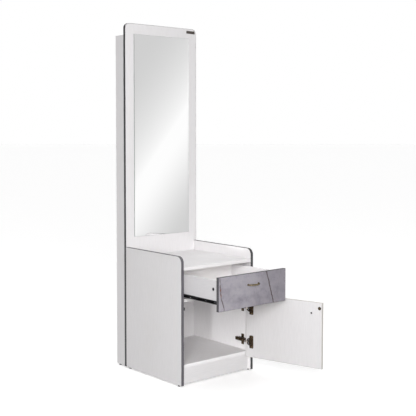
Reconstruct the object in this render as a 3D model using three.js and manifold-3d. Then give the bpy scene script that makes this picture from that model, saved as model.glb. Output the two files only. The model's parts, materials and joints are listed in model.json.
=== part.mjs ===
// Salon styling station: a tall mirror board on a shallow rear frame, with a drawer and a hinged door in the
// cabinet in front of it. Millimetres, +Z up, the front towards -Y. The origin is on the floor, at the middle of
// the rear face. The drawer stands part open and the door wide open, which is the station's rest position.
import * as THREE from "three";
import { mergeVertices } from "three/addons/utils/BufferGeometryUtils.js";
import Module from "manifold-3d";

const wasm = await Module();
wasm.setup();

// Driving dimensions
const WIDTH = 450; // over the mirror board and over the two side panels
const HEIGHT = 1708; // floor to the top of the mirror board
const BOARD = 15; // laminated board
const BAND = 1; // edge band round a board
const GLUE = 0.2; // glue line behind an edge band
const FIT = 0.3; // play round a piece that is let into another
const GLIDE = 6; // height of the glides
const REAR_DEPTH = 71; // rear frame, behind the mirror board
const CABINET_DEPTH = 438; // mirror board's face to the fronts of the side panels
const SIDE_TOP = 604;
const TOP_BOARD_TOP = 554;
const DIVIDER_TOP = 404;
const BOTTOM_BOARD_TOP = 97;
const SETBACK = 18; // divider, bottom board and plinth, behind the fronts of the side panels
const MIRROR_CORNER = 25;
const SIDE_CORNER = 30;
const DRAWER_OPEN = 240; // at rest
const DOOR_OPEN = THREE.MathUtils.degToRad(105); // at rest

// Planes worked out from them
const MIRROR_BACK = -REAR_DEPTH;
const MIRROR_FRONT = MIRROR_BACK - BOARD;
const FRONT = MIRROR_FRONT - CABINET_DEPTH;
const SET_BACK_FRONT = FRONT + SETBACK;
const HALF = WIDTH / 2;
const INNER = HALF - BOARD; // inner faces of the side panels, from the middle

// Mirror
const GLASS = { halfWidth: 173, bottom: 652, top: 1656.5, thickness: 4 };
const NAME_PLATE = { left: 160, right: 215, bottom: 1683.5, top: 1697.5, thickness: 1.5, corner: 2 };

// Rear frame
const UPRIGHT = { inset: 3, top: 1651 };
const RAIL_HEIGHT = 80;
const MIDDLE_RAIL_BOTTOM = 790;

// Glides
const GLIDE_RADIUS = 7;
const GLIDE_CHAMFER = 1.5;
const GLIDE_ROWS = {
  front: FRONT + 25,
  middle: MIRROR_FRONT - 25,
  rear: -20,
};

// Drawer, in its closed position
const DRAWER = { halfWidth: 207.5, bottom: 385.5, top: 537.5 };
const BOX = { outer: 197, wall: 12, bottom: 412, top: 520, depth: 350 };
const BOX_FRONT = FRONT + BOARD;
const BOX_REAR = BOX_FRONT + BOX.depth;
const BASE_PANEL = { thickness: 4, bottom: 420, groove: 5 };
const CAM = { radius: 7.2, length: 9, behindFront: 34, height: 480 };
const CAM_CROSS = { halfLong: 4.3, halfShort: 0.8, depth: 1.2 };
const HANDLE = { height: 487, halfSpan: 32, postRadius: 5, postLength: 9 };
const BOW = { halfWide: 4.5, halfThick: 2.6, reach: 26, steps: 24 };

// Drawer slides: three members each, one inside the other
const SLIDE = { front: SET_BACK_FRONT, length: 350, bottom: 414, top: 430, sheet: 1.5, play: 0.8 };
const SLIDE_LIPS = { outer: 6, middle: 8 }; // how far they reach from the side panel
const TONGUE = { halfHeight: 3, tip: 5 }; // the drawer member's tongue, its tip measured from the side panel

// Screws that hold the handle and the knob
const SCREW = { headRadius: 4, head: 2.6, shaftRadius: 2, reach: 6, slotDepth: 1, slotHalf: 0.5 };

// Door, in its closed position
const DOOR = { left: -207, right: 206.5, bottom: 72, top: 383 };
const DOOR_PIVOT = { x: 199.5, y: FRONT + 7 };
const STRIKE = { x: DOOR.left + 12, z: DOOR.top - 26, radius: 8, thickness: 1.5 };
const KNOB = { x: DOOR.left + 54, z: DOOR.top - 52, length: 23 };
const CATCH = { width: 22, depth: 40, halfHeight: 7, gap: 2.4 };

// Concealed hinges
const HINGE_HEIGHTS = { upper: 314, lower: 148 };
const CUP = { fromEdge: 22.5, radius: 17.2, depth: 11.5, wall: 1, rim: 18.6, flange: 1.2 };
const CUP_FLANGE = { near: 20, far: 43, halfHeight: 31.5, corner: 5 };
const ARM_PIVOT = { x: 201, y: FRONT + 24 };
const ARM = { left: 198, right: 204.2, rear: FRONT + 97, noseRadius: 5, halfHeight: 8 };
const ARM_SLOT = { halfHeight: 5, reach: 10, rear: 8 }; // the fork that the link turns in, from the arm's pin
const PLATE = { thickness: 2.5, middle: FRONT + 56, halfLength: 26, halfHeight: 9 };
const WINGS = { halfHeight: 26, halfWidth: 6 };
const RIB = { halfLength: 22, halfHeight: 6 };
const PIN = { radius: 1.5, halfLength: 8.2, hole: 1.8 };
const LINK = { thickness: 2.5, halfHeight: 4.6, eyeRadius: 3.4, steps: 20 };
// The link's middle line with the door open, measured from the arm's pin
const LINK_ROUTE = [[0, 0], [-11, -2], [-15.3, -8], [-15.6, -15.3], [-13, -21.5], [-3.2, -22.6]];

const ROUND = 28; // sides of a turned piece
const ARC = 8; // steps in a quarter circle
const OVERRUN = 5; // how far a cutting body passes the face that it cuts

const X = new THREE.Vector3(1, 0, 0);
const Y = new THREE.Vector3(0, 1, 0);
const Z = new THREE.Vector3(0, 0, 1);

const finish = (color, roughness, metalness = 0) => ({ color, roughness, metalness });
const WHITE = finish(0xe4e2e2, 0.45);
const CHARCOAL = finish(0x4e4d4c, 0.5);
const STONE = finish(0x9c969e, 0.4);
const MIRROR = finish(0xd8dadb, 0.02, 1);
const PLATE_BLACK = finish(0x2c2a28, 0.35, 0.4);
const SLIDE_BLACK = finish(0x121214, 0.4, 0.6);
const BRONZE = finish(0x4f4133, 0.4, 0.9);
const BRASS = finish(0x8a7550, 0.35, 0.9);
const STEEL = finish(0xb8b8b8, 0.3, 0.9);
const PLASTIC = finish(0x1c1c1c, 0.55);
const CAM_GREY = finish(0x2a2a2a, 0.5, 0.5);
const HARDBOARD = finish(0xcfcac4, 0.6);

// ---- Solids

function manifoldOf(geometry) {
  const bare = geometry.index ? geometry.toNonIndexed() : geometry.clone();
  bare.deleteAttribute("normal");
  bare.deleteAttribute("uv");
  const merged = mergeVertices(bare, 1e-4);
  const mesh = new wasm.Mesh({
    numProp: 3,
    vertProperties: merged.attributes.position.array,
    triVerts: new Uint32Array(merged.index.array),
  });
  return new wasm.Manifold(mesh);
}

function geometryOf(manifold) {
  const mesh = manifold.getMesh();
  const geometry = new THREE.BufferGeometry();
  geometry.setAttribute("position", new THREE.BufferAttribute(mesh.vertProperties.slice(), 3));
  geometry.setIndex(new THREE.BufferAttribute(mesh.triVerts.slice(), 1));
  const flat = geometry.toNonIndexed();
  flat.computeVertexNormals();
  return flat;
}

function cut(body, ...tools) {
  const left = tools.reduce((solid, tool) => solid.subtract(manifoldOf(tool)), manifoldOf(body));
  return geometryOf(left);
}

function join(...bodies) {
  return geometryOf(bodies.map(manifoldOf).reduce((all, body) => all.add(body)));
}

function box(left, right, front, back, bottom, top) {
  const geometry = new THREE.BoxGeometry(right - left, back - front, top - bottom);
  return geometry.translate((left + right) / 2, (front + back) / 2, (bottom + top) / 2);
}

// A turned peg along an axis, from start to start + length.
function peg(radius, length, axis, x, y, z) {
  const geometry = new THREE.CylinderGeometry(radius, radius, length, ROUND);
  geometry.translate(0, length / 2, 0);
  geometry.applyQuaternion(new THREE.Quaternion().setFromUnitVectors(Y, axis));
  return geometry.translate(x, y, z);
}

function extrude(shape, depth) {
  return new THREE.ExtrudeGeometry(shape, { depth, bevelEnabled: false, curveSegments: ARC });
}

// An outline in X and Z, made thick towards the back from its front plane.
function facingFront(shape, front, thickness) {
  const geometry = extrude(shape, thickness);
  geometry.applyMatrix4(new THREE.Matrix4().makeBasis(X, Z, Y.clone().negate()));
  return geometry.translate(0, front + thickness, 0);
}

// An outline in Y and Z, made thick towards +X from its left plane.
function facingSide(shape, left, thickness) {
  const geometry = extrude(shape, thickness);
  geometry.applyMatrix4(new THREE.Matrix4().makeBasis(Y, Z, X));
  return geometry.translate(left, 0, 0);
}

// An outline in X and Y, made thick upwards from its lower plane.
function facingUp(shape, bottom, thickness) {
  const geometry = extrude(shape, thickness);
  return geometry.translate(0, 0, bottom);
}

// A rectangle whose two top corners and two bottom corners may be round.
function outline(left, right, bottom, top, topLeft = 0, topRight = topLeft, lower = 0) {
  const shape = new THREE.Shape();
  shape.moveTo(left + lower, bottom);
  shape.lineTo(right - lower, bottom);
  if (lower) shape.absarc(right - lower, bottom + lower, lower, -Math.PI / 2, 0);
  shape.lineTo(right, top - topRight);
  if (topRight) shape.absarc(right - topRight, top - topRight, topRight, 0, Math.PI / 2);
  shape.lineTo(left + topLeft, top);
  if (topLeft) shape.absarc(left + topLeft, top - topLeft, topLeft, Math.PI / 2, Math.PI);
  shape.lineTo(left, bottom + lower);
  if (lower) shape.absarc(left + lower, bottom + lower, lower, Math.PI, Math.PI * 1.5);
  return shape;
}

// ---- The tree of groups and named meshes

const station = new THREE.Group();

function subgroup(parent, x = 0, y = 0, turn = 0) {
  const group = new THREE.Group();
  group.position.set(x, y, 0);
  group.rotation.z = turn;
  parent.add(group);
  return group;
}

const carcass = subgroup(station);
const drawer = subgroup(station, 0, -DRAWER_OPEN);
const slideMiddles = subgroup(station, 0, -DRAWER_OPEN / 2);
const hingeLinks = subgroup(station);
const doorTurn = subgroup(station, DOOR_PIVOT.x, DOOR_PIVOT.y, DOOR_OPEN);
const door = subgroup(doorTurn, -DOOR_PIVOT.x, -DOOR_PIVOT.y);

function piece(group, name, geometry, material) {
  const mesh = new THREE.Mesh(geometry, new THREE.MeshStandardMaterial(material));
  mesh.name = name;
  group.add(mesh);
}

// ---- Mirror board and rear frame

function mirrorBoard() {
  const inner = BAND - GLUE;
  const core = outline(-HALF + BAND, HALF - BAND, GLIDE, HEIGHT - BAND, MIRROR_CORNER - BAND);
  const whole = outline(-HALF, HALF, GLIDE, HEIGHT, MIRROR_CORNER);
  const hollow = outline(-HALF + inner, HALF - inner, GLIDE - OVERRUN, HEIGHT - inner, MIRROR_CORNER - inner);
  const band = cut(
    facingFront(whole, MIRROR_FRONT, BOARD),
    facingFront(hollow, MIRROR_FRONT - OVERRUN, BOARD + 2 * OVERRUN),
  );
  piece(carcass, "mirror_board", facingFront(core, MIRROR_FRONT, BOARD), WHITE);
  piece(carcass, "mirror_board_edge_band", band, CHARCOAL);
}

function mirrorGlass() {
  const { halfWidth, bottom, top, thickness } = GLASS;
  const pane = box(-halfWidth, halfWidth, MIRROR_FRONT - thickness, MIRROR_FRONT, bottom, top);
  piece(carcass, "mirror_glass", pane, MIRROR);
}

function namePlate() {
  const { left, right, bottom, top, thickness, corner } = NAME_PLATE;
  const shape = outline(left, right, bottom, top, corner, corner, corner);
  piece(carcass, "name_plate", facingFront(shape, MIRROR_FRONT - thickness, thickness), PLATE_BLACK);
}

function rearFrame() {
  const outer = HALF - UPRIGHT.inset;
  const inner = outer - BOARD;
  piece(carcass, "rear_left_upright", box(-outer, -inner, MIRROR_BACK, 0, GLIDE, UPRIGHT.top), WHITE);
  piece(carcass, "rear_right_upright", box(inner, outer, MIRROR_BACK, 0, GLIDE, UPRIGHT.top), WHITE);
  const rails = { top: UPRIGHT.top - RAIL_HEIGHT, middle: MIDDLE_RAIL_BOTTOM, bottom: GLIDE };
  for (const [place, bottom] of Object.entries(rails)) {
    piece(carcass, `rear_${place}_rail`, box(-inner, inner, -BOARD, 0, bottom, bottom + RAIL_HEIGHT), WHITE);
  }
}

// ---- Cabinet

function sidePanel(name, left) {
  const inner = BAND - GLUE;
  const core = outline(FRONT + BAND, MIRROR_FRONT, GLIDE, SIDE_TOP - BAND, SIDE_CORNER - BAND, 0);
  const whole = outline(FRONT, MIRROR_FRONT, GLIDE, SIDE_TOP, SIDE_CORNER, 0);
  const hollow = outline(
    FRONT + inner, MIRROR_FRONT + OVERRUN, GLIDE - OVERRUN, SIDE_TOP - inner, SIDE_CORNER - inner, 0,
  );
  const band = cut(facingSide(whole, left, BOARD), facingSide(hollow, left - OVERRUN, BOARD + 2 * OVERRUN));
  piece(carcass, `${name}_side_panel`, facingSide(core, left, BOARD), WHITE);
  piece(carcass, `${name}_side_edge_band`, band, CHARCOAL);
}

function shelf(name, front, top) {
  piece(carcass, name, box(-INNER, INNER, front, MIRROR_FRONT, top - BOARD, top), WHITE);
}

function plinth() {
  const top = BOTTOM_BOARD_TOP - BOARD;
  const board = box(-INNER, INNER, SET_BACK_FRONT, SET_BACK_FRONT + BOARD, GLIDE, top);
  piece(carcass, "plinth_board", board, WHITE);
}

function glide(name, x, y) {
  const profile = [
    new THREE.Vector2(0, 0),
    new THREE.Vector2(GLIDE_RADIUS - GLIDE_CHAMFER, 0),
    new THREE.Vector2(GLIDE_RADIUS, GLIDE_CHAMFER),
    new THREE.Vector2(GLIDE_RADIUS, GLIDE),
    new THREE.Vector2(0, GLIDE),
  ];
  const geometry = new THREE.LatheGeometry(profile, ROUND);
  geometry.rotateX(Math.PI / 2);
  piece(carcass, name, geometry.translate(x, y, 0), PLASTIC);
}

function glides() {
  for (const [row, y] of Object.entries(GLIDE_ROWS)) {
    const x = row === "rear" ? HALF - UPRIGHT.inset - BOARD / 2 : HALF - BOARD / 2;
    glide(`left_${row}_glide`, -x, y);
    glide(`right_${row}_glide`, x, y);
  }
}

// ---- Drawer

function ringBand(left, right, bottom, top, gap) {
  const inner = BAND - gap;
  const whole = outline(left, right, bottom, top);
  const hollow = outline(left + inner, right - inner, bottom + inner, top - inner);
  return cut(
    facingFront(whole, FRONT, BOARD),
    facingFront(hollow, FRONT - OVERRUN, BOARD + 2 * OVERRUN),
  );
}

// The hole that a handle screw or knob screw needs through a board.
function screwHole(x, z) {
  return peg(SCREW.shaftRadius + FIT, BOARD + 2 * OVERRUN, Y, x, FRONT - OVERRUN, z);
}

// The blind hole for the same screw in the foot of a handle or knob.
function footHole(x, z) {
  const depth = SCREW.reach + 1;
  return peg(SCREW.shaftRadius + FIT, depth + OVERRUN, Y, x, FRONT - depth, z);
}

function screw(group, name, x, z) {
  const inside = FRONT + BOARD + FIT;
  const shaft = peg(SCREW.shaftRadius, BOARD + FIT + SCREW.reach, Y, x, FRONT - SCREW.reach, z);
  const head = peg(SCREW.headRadius, SCREW.head, Y, x, inside, z);
  const crown = inside + SCREW.head;
  const slot = box(
    x - SCREW.headRadius, x + SCREW.headRadius, crown - SCREW.slotDepth, crown + OVERRUN,
    z - SCREW.slotHalf, z + SCREW.slotHalf,
  );
  piece(group, name, cut(join(shaft, head), slot), STEEL);
}

function drawerFront() {
  const { halfWidth, bottom, top } = DRAWER;
  const core = box(-halfWidth + BAND, halfWidth - BAND, FRONT, FRONT + BOARD, bottom + BAND, top - BAND);
  const holes = [-HANDLE.halfSpan, HANDLE.halfSpan].map((x) => screwHole(x, HANDLE.height));
  piece(drawer, "drawer_front", cut(core, ...holes), STONE);
  piece(drawer, "drawer_front_edge_band", ringBand(-halfWidth, halfWidth, bottom, top, GLUE), CHARCOAL);
}

function drawerSide(name, sign) {
  const inner = BOX.outer - BOX.wall;
  const camBore = CAM.length + FIT;
  const spans = (a, b) => [Math.min(sign * a, sign * b), Math.max(sign * a, sign * b)];
  const wall = box(...spans(inner, BOX.outer), BOX_FRONT, BOX_REAR, BOX.bottom, BOX.top);
  const groove = box(
    ...spans(inner - OVERRUN, inner + BASE_PANEL.groove + FIT), BOX_FRONT - OVERRUN, BOX_REAR + OVERRUN,
    BASE_PANEL.bottom - FIT, BASE_PANEL.bottom + BASE_PANEL.thickness + FIT,
  );
  const camY = BOX_FRONT + CAM.behindFront;
  const outward = X.clone().multiplyScalar(sign);
  const bore = peg(CAM.radius + FIT, camBore + OVERRUN, outward, sign * (BOX.outer - camBore), camY, CAM.height);
  piece(drawer, `drawer_${name}_side`, cut(wall, groove, bore), WHITE);

  const body = peg(CAM.radius, CAM.length, outward, sign * (BOX.outer - CAM.length), camY, CAM.height);
  const { halfLong, halfShort, depth } = CAM_CROSS;
  const slotX = spans(BOX.outer - depth, BOX.outer + OVERRUN);
  const upright = box(...slotX, camY - halfShort, camY + halfShort, CAM.height - halfLong, CAM.height + halfLong);
  const level = box(...slotX, camY - halfLong, camY + halfLong, CAM.height - halfShort, CAM.height + halfShort);
  piece(drawer, `${name}_cam_fitting`, cut(body, upright, level), CAM_GREY);
}

function drawerBox() {
  drawerSide("left", -1);
  drawerSide("right", 1);
  const inner = BOX.outer - BOX.wall;
  const base = BASE_PANEL.bottom + BASE_PANEL.thickness;
  const back = box(-inner, inner, BOX_REAR - BOX.wall, BOX_REAR, base + FIT, BOX.top);
  piece(drawer, "drawer_back", back, WHITE);
  const half = inner + BASE_PANEL.groove;
  const panel = box(-half, half, BOX_FRONT, BOX_REAR, BASE_PANEL.bottom, base);
  piece(drawer, "drawer_bottom", panel, HARDBOARD);
}

function drawerHandle() {
  const { height, halfSpan, postRadius, postLength } = HANDLE;
  const { halfWide, halfThick, reach, steps } = BOW;
  const endX = halfSpan + halfThick;
  const endY = FRONT - postLength + halfThick;
  const arch = new THREE.CubicBezierCurve3(
    new THREE.Vector3(-endX, endY, height),
    new THREE.Vector3(-endX / 2, FRONT - reach, height),
    new THREE.Vector3(endX / 2, FRONT - reach, height),
    new THREE.Vector3(endX, endY, height),
  );
  const section = new THREE.Shape().absellipse(0, 0, halfWide, halfThick, 0, Math.PI * 2);
  const bow = new THREE.ExtrudeGeometry(section, { steps, curveSegments: ARC, extrudePath: arch });
  const posts = [-halfSpan, halfSpan].map((x) => peg(postRadius, postLength, Y, x, FRONT - postLength, height));
  const holes = [-halfSpan, halfSpan].map((x) => footHole(x, height));
  piece(drawer, "drawer_handle", cut(join(bow, ...posts), ...holes), BRASS);
  screw(drawer, "left_handle_screw", -halfSpan, height);
  screw(drawer, "right_handle_screw", halfSpan, height);
}

// ---- Drawer slides

// A channel's outline: a web near the cabinet wall and two lips towards the drawer.
function channel(sign, web, lipEnd, bottom, top) {
  const { sheet } = SLIDE;
  const points = [
    [web, bottom], [web, top], [lipEnd, top], [lipEnd, top - sheet],
    [web - sheet, top - sheet], [web - sheet, bottom + sheet], [lipEnd, bottom + sheet], [lipEnd, bottom],
  ];
  return new THREE.Shape(points.map(([x, z]) => new THREE.Vector2(sign * x, z)));
}

// The inner member's outline: a plate on the drawer's side and a tongue that runs in the middle member.
function drawerMember(sign) {
  const { bottom, top, sheet } = SLIDE;
  const face = BOX.outer + FIT;
  const middle = (top + bottom) / 2;
  const upper = middle + TONGUE.halfHeight;
  const lower = middle - TONGUE.halfHeight;
  const tip = INNER - TONGUE.tip;
  const points = [
    [face, bottom], [face, top], [face + sheet, top], [face + sheet, upper],
    [tip, upper], [tip, lower], [face + sheet, lower], [face + sheet, bottom],
  ];
  return new THREE.Shape(points.map(([x, z]) => new THREE.Vector2(sign * x, z)));
}

function slides() {
  const { front, length, bottom, top, sheet, play } = SLIDE;
  const nest = sheet + play;
  for (const [name, sign] of Object.entries({ left: -1, right: 1 })) {
    const outer = channel(sign, INNER, INNER - SLIDE_LIPS.outer, bottom, top);
    const middle = channel(sign, INNER - nest, INNER - SLIDE_LIPS.middle, bottom + nest, top - nest);
    piece(carcass, `${name}_slide_outer`, facingFront(outer, front, length), SLIDE_BLACK);
    piece(slideMiddles, `${name}_slide_middle`, facingFront(middle, front, length), SLIDE_BLACK);
    piece(drawer, `${name}_slide_inner`, facingFront(drawerMember(sign), front, length), SLIDE_BLACK);
  }
}

// ---- Door

function doorPanel() {
  const { left, right, bottom, top } = DOOR;
  const core = box(left + BAND, right - BAND, FRONT, FRONT + BOARD, bottom + BAND, top - BAND);
  const cupX = right - CUP.fromEdge;
  const bores = Object.values(HINGE_HEIGHTS).map((z) =>
    peg(CUP.radius + FIT, CUP.depth + FIT + OVERRUN, Y, cupX, FRONT + BOARD - CUP.depth - FIT, z));
  piece(door, "door_panel", cut(core, ...bores, screwHole(KNOB.x, KNOB.z)), WHITE);
  piece(door, "door_edge_band", ringBand(left, right, bottom, top, FIT), WHITE);
}

function doorKnob() {
  const profile = [
    [0, 0], [7.5, 0], [7.5, 2], [5, 4], [4.5, 10], [6, 13],
    [12, 16], [12.5, 18.5], [10.5, 21.5], [6, KNOB.length - 0.4], [0, KNOB.length],
  ].map(([radius, out]) => new THREE.Vector2(radius, out));
  const body = new THREE.LatheGeometry(profile, ROUND);
  body.rotateX(Math.PI); // its foot against the door, its crown towards the front
  body.translate(KNOB.x, FRONT - FIT, KNOB.z);
  piece(door, "door_knob", cut(body, footHole(KNOB.x, KNOB.z)), BRASS);
  screw(door, "knob_screw", KNOB.x, KNOB.z);
}

function doorCatch() {
  const inside = FRONT + BOARD + FIT;
  piece(door, "strike_disc", peg(STRIKE.radius, STRIKE.thickness, Y, STRIKE.x, inside, STRIKE.z), BRONZE);
  const front = FRONT + BOARD + CATCH.gap;
  const body = box(
    -INNER, -INNER + CATCH.width, front, front + CATCH.depth, STRIKE.z - CATCH.halfHeight, STRIKE.z + CATCH.halfHeight,
  );
  piece(carcass, "magnetic_catch", body, PLASTIC);
}

// ---- Concealed hinges

function hingeCup(place, z) {
  const face = FRONT + BOARD;
  const x = DOOR.right - CUP.fromEdge;
  const { near, far, halfHeight, corner } = CUP_FLANGE;
  const plate = outline(DOOR.right - far, DOOR.right - near, z - halfHeight, z + halfHeight, corner, corner, corner);
  const flange = facingFront(plate, face + FIT, CUP.flange);
  const rim = peg(CUP.rim, CUP.flange, Y, x, face + FIT, z);
  const body = peg(CUP.radius, CUP.depth + FIT, Y, x, face - CUP.depth, z);
  const hollow = peg(CUP.radius - CUP.wall, CUP.depth + OVERRUN, Y, x, face - CUP.depth + CUP.wall, z);
  piece(door, `${place}_hinge_cup`, cut(join(flange, rim, body), hollow), BRONZE);
}

function hingePlate(place, z) {
  const { middle } = PLATE;
  const slab = (left, halfLength, halfHeight) =>
    box(left, INNER, middle - halfLength, middle + halfLength, z - halfHeight, z + halfHeight);
  const wings = slab(INNER - PLATE.thickness, WINGS.halfWidth, WINGS.halfHeight);
  const base = slab(INNER - PLATE.thickness, PLATE.halfLength, PLATE.halfHeight);
  const rib = slab(ARM.right + FIT, RIB.halfLength, RIB.halfHeight);
  piece(carcass, `${place}_hinge_plate`, join(wings, base, rib), BRONZE);
}

function hingeArm(place, z) {
  const { left, right, rear, noseRadius, halfHeight } = ARM;
  const { x, y } = ARM_PIVOT;
  const body = box(left, right, y, rear, z - halfHeight, z + halfHeight);
  const nose = peg(noseRadius, 2 * halfHeight, Z, x, y, z - halfHeight);
  const slot = box(
    x - ARM_SLOT.reach, x + ARM_SLOT.reach, y - ARM_SLOT.reach, y + ARM_SLOT.rear,
    z - ARM_SLOT.halfHeight, z + ARM_SLOT.halfHeight,
  );
  const hole = peg(PIN.hole, 2 * (halfHeight + OVERRUN), Z, x, y, z - halfHeight - OVERRUN);
  piece(carcass, `${place}_hinge_arm`, cut(join(body, nose), slot, hole), BRONZE);
  piece(carcass, `${place}_hinge_pin`, peg(PIN.radius, 2 * PIN.halfLength, Z, x, y, z - PIN.halfLength), STEEL);
}

// The gooseneck link, drawn with the door open: it leaves the arm's pin, passes round the door's corner and
// ends inside the cup, where the door's own pivot pin would hold it.
function hingeLink(place, z) {
  const { x, y } = ARM_PIVOT;
  const route = new THREE.CatmullRomCurve3(LINK_ROUTE.map(([dx, dy]) => new THREE.Vector3(x + dx, y + dy, 0)));
  const steps = LINK.steps;
  const half = LINK.thickness / 2;
  const edge = (side) => (_, i) => {
    const point = route.getPoint(i / steps);
    const along = route.getTangent(i / steps);
    return new THREE.Vector2(point.x - side * half * along.y, point.y + side * half * along.x);
  };
  const count = { length: steps + 1 };
  const shape = new THREE.Shape([...Array.from(count, edge(1)), ...Array.from(count, edge(-1)).reverse()]);
  const neck = facingUp(shape, z - LINK.halfHeight, 2 * LINK.halfHeight);
  const eye = peg(LINK.eyeRadius, 2 * LINK.halfHeight, Z, x, y, z - LINK.halfHeight);
  const hole = peg(PIN.hole, 2 * (LINK.halfHeight + OVERRUN), Z, x, y, z - LINK.halfHeight - OVERRUN);
  piece(hingeLinks, `${place}_hinge_link`, cut(join(neck, eye), hole), BRONZE);
}

mirrorBoard();
mirrorGlass();
namePlate();
rearFrame();
sidePanel("left", -HALF);
sidePanel("right", INNER);
shelf("top_board", FRONT, TOP_BOARD_TOP);
shelf("divider_shelf", SET_BACK_FRONT, DIVIDER_TOP);
shelf("bottom_board", SET_BACK_FRONT, BOTTOM_BOARD_TOP);
plinth();
glides();
drawerFront();
drawerBox();
drawerHandle();
slides();
doorPanel();
doorKnob();
doorCatch();
for (const [place, z] of Object.entries(HINGE_HEIGHTS)) {
  hingeCup(place, z);
  hingePlate(place, z);
  hingeArm(place, z);
  hingeLink(place, z);
}

export default station;
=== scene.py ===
"""Looks of the salon styling station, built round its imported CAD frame.

Metres, +Z up, the front towards -Y. A piece of the door is made with the door closed, where its edges are
square to the axes, and is then turned open about the door's joint.
"""

import json
import math

import bmesh
import bpy
from mathutils import Matrix, Vector


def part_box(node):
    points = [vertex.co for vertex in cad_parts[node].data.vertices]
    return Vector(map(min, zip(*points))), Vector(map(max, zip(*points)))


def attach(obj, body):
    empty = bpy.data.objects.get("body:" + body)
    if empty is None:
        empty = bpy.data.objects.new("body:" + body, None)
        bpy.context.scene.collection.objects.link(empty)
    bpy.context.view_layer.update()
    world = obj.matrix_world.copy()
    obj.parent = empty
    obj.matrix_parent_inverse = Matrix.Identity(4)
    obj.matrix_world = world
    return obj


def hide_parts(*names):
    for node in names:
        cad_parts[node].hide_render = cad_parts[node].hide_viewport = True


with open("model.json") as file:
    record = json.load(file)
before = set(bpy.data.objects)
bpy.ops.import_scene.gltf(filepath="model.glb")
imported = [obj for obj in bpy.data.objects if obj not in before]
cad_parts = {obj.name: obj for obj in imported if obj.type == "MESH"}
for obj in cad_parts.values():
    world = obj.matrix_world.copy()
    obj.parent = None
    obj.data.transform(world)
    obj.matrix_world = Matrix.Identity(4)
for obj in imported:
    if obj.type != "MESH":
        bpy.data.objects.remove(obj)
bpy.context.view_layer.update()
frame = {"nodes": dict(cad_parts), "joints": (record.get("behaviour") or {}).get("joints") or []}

MM = 0.001
BAND = 1 * MM
GLUE = 0.2 * MM
ARRIS = 0.35 * MM  # rounding of a board's edges
CORNER_STEPS = 16  # per quarter circle
SIDES = 48  # of a turned piece
SCREW_SIDES = 32
PIN_SIDES = 24
MIRROR_CORNER = 25 * MM
SIDE_CORNER = 30 * MM
CUT_OVERRUN = 5  # how far a cutter passes the face that it cuts, in millimetres
PLAY = 0.3  # round a piece that is let into another, in millimetres
PAN_RADIUS = 4  # of the heads of the screws through the boards, in millimetres
PAN_HEIGHT = 2.6

# Concealed hinge's cup, in millimetres
CUP_RIM = 18.6  # radius of the lip round the pot
CUP_RADIUS = 17.2
CUP_DEPTH = 11.5
CUP_FLANGE = 23  # width of the flange
CUP_SCREWS = 24  # each side of the middle
CUP_PIN = (0.1945, -0.5139)  # X and Y with the door closed, in metres
CUP_PIN_HALF = 11.5  # half of its length

# Where the gooseneck bends, from the arm's pin, in millimetres
LINK_BENDS = [(0, 0), (-11, -2), (-15.3, -8), (-15.6, -15.3), (-13, -21.5), (-3.2, -22.6)]

X = Vector((1, 0, 0))
Y = Vector((0, 1, 0))
Z = Vector((0, 0, 1))

DOOR_JOINT = next(j for j in frame["joints"] if j["name"] == "door_swing")
DOOR_OPEN = math.radians(-DOOR_JOINT["range_deg"][0])
PIVOT = Matrix.Translation(Vector(DOOR_JOINT["pos_m"]))
OPENED = PIVOT @ Matrix.Rotation(DOOR_OPEN, 4, "Z") @ PIVOT.inverted()
IN_PLACE = Matrix.Identity(4)

# Flat outlines are drawn in U and V and made thick along W
FACING_FRONT = Matrix(((1, 0, 0, 0), (0, 0, 1, 0), (0, 1, 0, 0), (0, 0, 0, 1)))  # U, V, W are X, Z, Y
FACING_SIDE = Matrix(((0, 0, 1, 0), (1, 0, 0, 0), (0, 1, 0, 0), (0, 0, 0, 1)))  # U, V, W are Y, Z, X


# ---- Node trees


def linear(code):
    """A colour written as in a paint list, such as "e4e2e2", in the linear values that shaders use."""
    shades = [int(code[i : i + 2], 16) / 255 for i in (0, 2, 4)]
    return (*[s / 12.92 if s <= 0.04045 else ((s + 0.055) / 1.055) ** 2.4 for s in shades], 1)


class Tree:
    """Short calls that add nodes to a node tree."""

    def __init__(self, tree):
        self.tree = tree

    def node(self, kind, inputs=None, **settings):
        made = self.tree.nodes.new(kind)
        for name, value in settings.items():
            setattr(made, name, value)
        for key, value in (inputs or {}).items():
            if isinstance(value, bpy.types.NodeSocket):
                self.tree.links.new(value, made.inputs[key])
            else:
                made.inputs[key].default_value = value
        return made

    def math(self, operation, first, second=0.0):
        return self.node("ShaderNodeMath", {0: first, 1: second}, operation=operation).outputs[0]

    def vector(self, operation, first, second=(0, 0, 0), result="Vector"):
        inputs = {0: first, 1: second}
        return self.node("ShaderNodeVectorMath", inputs, operation=operation).outputs[result]

    def dot(self, first, second):
        return self.vector("DOT_PRODUCT", first, second, "Value")

    def spread(self, value, source, result=(0.0, 1.0)):
        """The value moved smoothly from one range to another, and held inside it."""
        inputs = {"Value": value, "From Min": source[0], "From Max": source[1]}
        inputs |= {"To Min": result[0], "To Max": result[1]}
        return self.node("ShaderNodeMapRange", inputs, interpolation_type="SMOOTHSTEP").outputs["Result"]

    def noise(self, where, scale, detail, roughness=0.55, stretch=(1, 1, 1)):
        """Noise with that many grains to a metre; stretch draws the grains out along an axis."""
        size = tuple(scale / s for s in stretch)
        spread = self.node("ShaderNodeMapping", {"Vector": where, "Scale": size})
        inputs = {"Vector": spread.outputs[0], "Scale": 1.0, "Detail": detail, "Roughness": roughness}
        return self.node("ShaderNodeTexNoise", inputs).outputs["Fac"]

    def blend(self, share, first, second):
        inputs = {0: share, 6: first, 7: second}
        return self.node("ShaderNodeMix", inputs, data_type="RGBA", clamp_factor=True).outputs[2]

    def bump(self, height, depth, strength):
        inputs = {"Height": height, "Distance": depth, "Strength": strength}
        return self.node("ShaderNodeBump", inputs).outputs["Normal"]


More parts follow.
